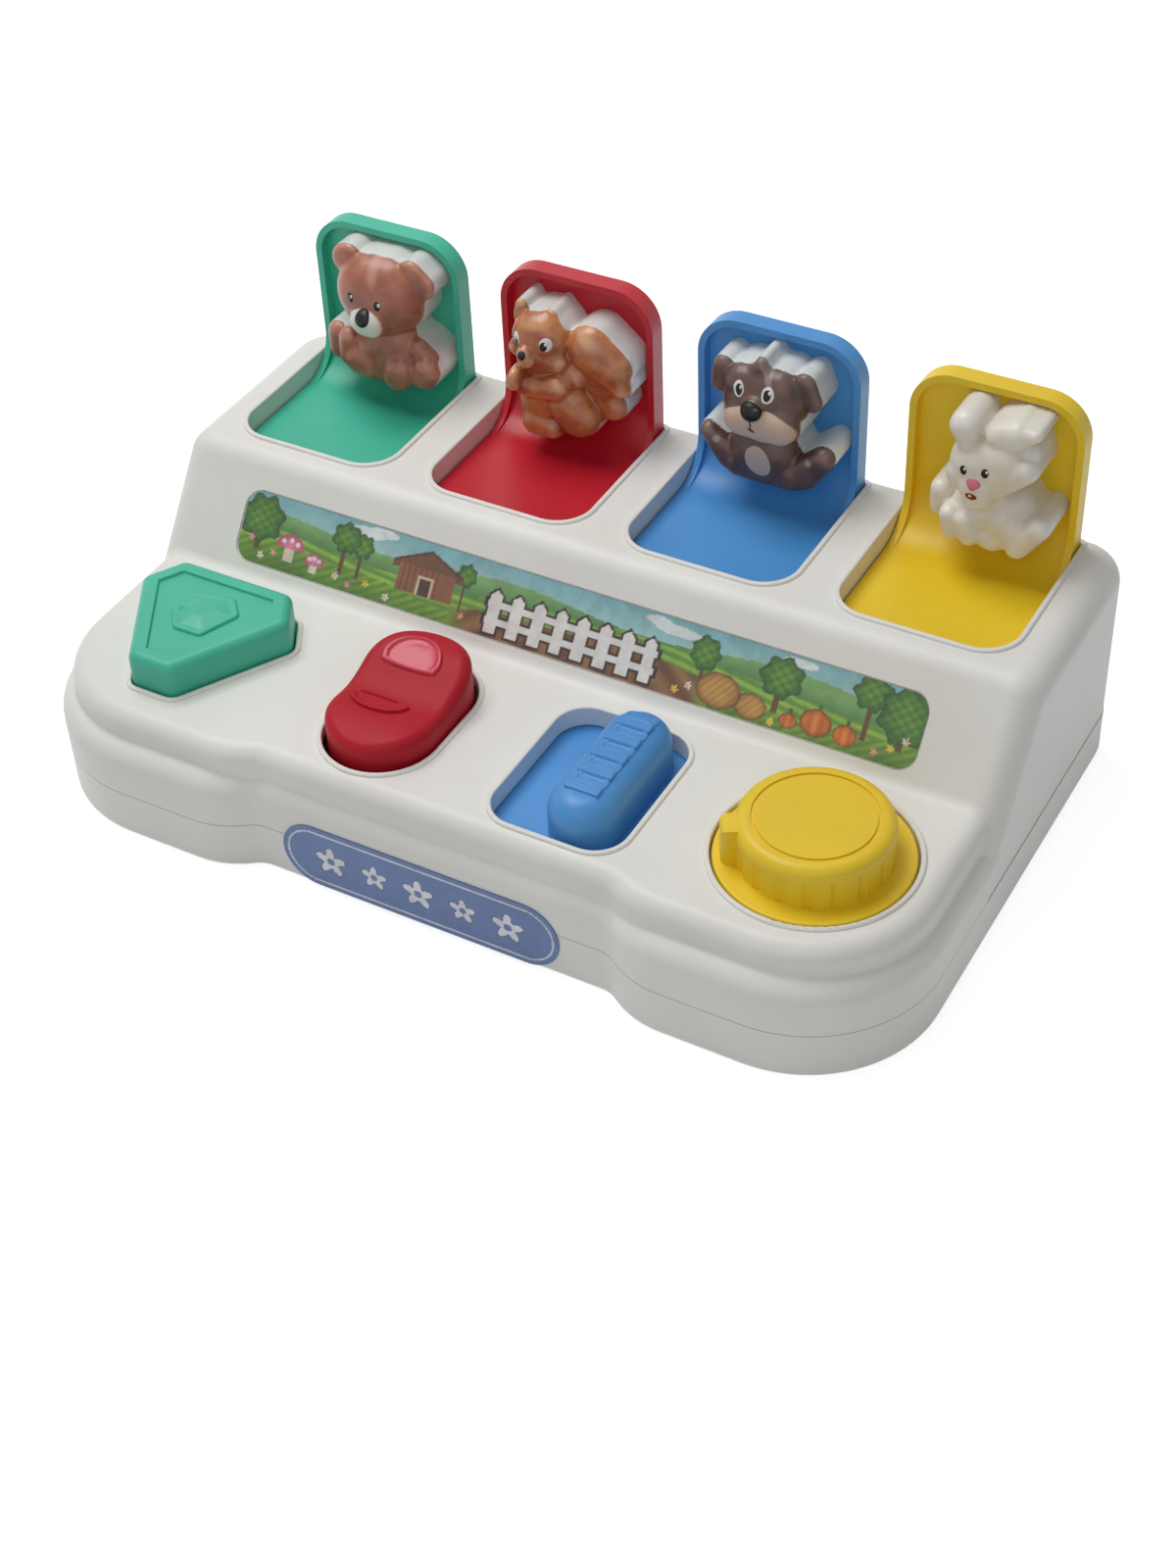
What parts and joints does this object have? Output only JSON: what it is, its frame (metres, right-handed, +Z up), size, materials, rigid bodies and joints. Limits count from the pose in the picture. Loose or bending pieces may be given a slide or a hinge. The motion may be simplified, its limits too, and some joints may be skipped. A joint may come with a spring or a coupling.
{
  "type": "pop up animal toy",
  "caption": "Pop-up toy: stepped white case with hinged coloured lids carrying animal figures, released by a button, a rocker, a slider and a dial.",
  "frame": {"origin": "on the table under the middle of the case", "axes": "+X to the right along the row of lids, +Y to the rear, +Z up"},
  "size_m": [0.26, 0.16, 0.1114],
  "materials": {
    "housing_white": "fine matte spark-eroded texture",
    "green_plastic": "fine satin",
    "red_plastic": "satin",
    "blue_plastic": "satin",
    "yellow_plastic": "fine satin",
    "bear_figure": "white plastic sprayed brown on the front",
    "squirrel_figure": "white plastic sprayed pearly orange-brown on the front",
    "puppy_figure": "white plastic sprayed dark brown on the front",
    "rabbit_figure": "white plastic with small painted face details",
    "banner_print": "printed film, satin",
    "badge_print": "printed film, satin",
    "inner_plastic": "plain unpainted acetal",
    "steel": "bright zinc plated",
    "spring_steel": "drawn wire"
  },
  "bodies": {
    "housing": {"upper_housing": "housing_white", "base_plate": "housing_white", "banner_label": "banner_print", "front_badge": "badge_print", "case_screws": "steel", "rocker_pin": "steel", "slide_rails": "inner_plastic", "button_spring": "spring_steel", "hinge_rod_green": "steel", "latch_pin_green": "steel", "latch_spring_green": "spring_steel", "hinge_rod_red": "steel", "latch_pin_red": "steel", "latch_spring_red": "spring_steel", "hinge_rod_blue": "steel", "latch_pin_blue": "steel", "latch_spring_blue": "spring_steel", "hinge_rod_yellow": "steel", "latch_pin_yellow": "steel", "latch_spring_yellow": "spring_steel"},
    "green_lid": {"lid_green": "green_plastic", "bear_figure": "bear_figure", "lid_spring_green": "spring_steel"},
    "red_lid": {"lid_red": "red_plastic", "squirrel_figure": "squirrel_figure", "lid_spring_red": "spring_steel"},
    "blue_lid": {"lid_blue": "blue_plastic", "puppy_figure": "puppy_figure", "lid_spring_blue": "spring_steel"},
    "yellow_lid": {"lid_yellow": "yellow_plastic", "rabbit_figure": "rabbit_figure", "lid_spring_yellow": "spring_steel"},
    "green_latch": {"latch_lever_green": "inner_plastic"},
    "red_latch": {"latch_lever_red": "inner_plastic"},
    "blue_latch": {"latch_lever_blue": "inner_plastic"},
    "yellow_latch": {"latch_lever_yellow": "inner_plastic"},
    "button": {"push_button": "green_plastic"},
    "rocker": {"rocker_switch": "red_plastic"},
    "slider": {"slide_switch": "blue_plastic"},
    "knob": {"turn_knob": "yellow_plastic", "knob_collar": "inner_plastic", "knob_screw": "steel"}
  },
  "joints": [
    {"name": "green_lid_hinge", "type": "hinge", "parent": "housing", "child": "green_lid", "pos_m": [-0.093, 0.0685, 0.0625], "axis": [1, 0, 0], "range_deg": [0, 90], "stiffness_Nm_per_rad": 0.006, "springref_deg": -85.94},
    {"name": "red_lid_hinge", "type": "hinge", "parent": "housing", "child": "red_lid", "pos_m": [-0.031, 0.0685, 0.0625], "axis": [1, 0, 0], "range_deg": [0, 90], "stiffness_Nm_per_rad": 0.006, "springref_deg": -85.94},
    {"name": "blue_lid_hinge", "type": "hinge", "parent": "housing", "child": "blue_lid", "pos_m": [0.031, 0.0685, 0.0625], "axis": [1, 0, 0], "range_deg": [0, 90], "stiffness_Nm_per_rad": 0.006, "springref_deg": -85.94},
    {"name": "yellow_lid_hinge", "type": "hinge", "parent": "housing", "child": "yellow_lid", "pos_m": [0.093, 0.0685, 0.0625], "axis": [1, 0, 0], "range_deg": [0, 90], "stiffness_Nm_per_rad": 0.006, "springref_deg": -85.94},
    {"name": "button_press", "type": "slide", "parent": "housing", "child": "button", "axis": [0, 0, -1], "range_m": [0, 0.006], "stiffness_N_per_m": 250, "springref_m": -0.004, "deforming": ["button_spring"]},
    {"name": "rocker_tilt", "type": "hinge", "parent": "housing", "child": "rocker", "pos_m": [-0.0264, -0.0405, 0.032], "axis": [1, 0, 0], "range_deg": [-10, 0], "stiffness_Nm_per_rad": 0.05, "springref_deg": 11.46},
    {"name": "slider_slide", "type": "slide", "parent": "housing", "child": "slider", "axis": [-1, 0, 0], "range_m": [0, 0.014], "stiffness_N_per_m": 60, "springref_m": -0.005},
    {"name": "knob_turn", "type": "hinge", "parent": "housing", "child": "knob", "pos_m": [0.0935, -0.04, 0.039], "axis": [0, 0, 1], "range_deg": [-60, 0], "stiffness_Nm_per_rad": 0.01, "springref_deg": 22.92},
    {"name": "green_latch_hinge", "type": "hinge", "parent": "housing", "child": "green_latch", "pos_m": [-0.093, -0.01, 0.008], "axis": [1, 0, 0], "range_deg": [-2.6, 0], "deforming": ["latch_spring_green"]},
    {"name": "red_latch_hinge", "type": "hinge", "parent": "housing", "child": "red_latch", "pos_m": [-0.031, -0.01, 0.008], "axis": [1, 0, 0], "range_deg": [-2.6, 0], "deforming": ["latch_spring_red"]},
    {"name": "blue_latch_hinge", "type": "hinge", "parent": "housing", "child": "blue_latch", "pos_m": [0.031, -0.01, 0.008], "axis": [1, 0, 0], "range_deg": [-2.6, 0], "deforming": ["latch_spring_blue"]},
    {"name": "yellow_latch_hinge", "type": "hinge", "parent": "housing", "child": "yellow_latch", "pos_m": [0.093, -0.01, 0.008], "axis": [1, 0, 0], "range_deg": [-2.6, 0], "deforming": ["latch_spring_yellow"]}
  ],
  "couplings": [
    {"joint": "green_latch_hinge", "follows": "button_press", "rad_per_m": -7.2722},
    {"joint": "red_latch_hinge", "follows": "rocker_tilt", "ratio": 0.25},
    {"joint": "blue_latch_hinge", "follows": "slider_slide", "rad_per_m": -3.1167},
    {"joint": "yellow_latch_hinge", "follows": "knob_turn", "ratio": 0.041667}
  ]
}
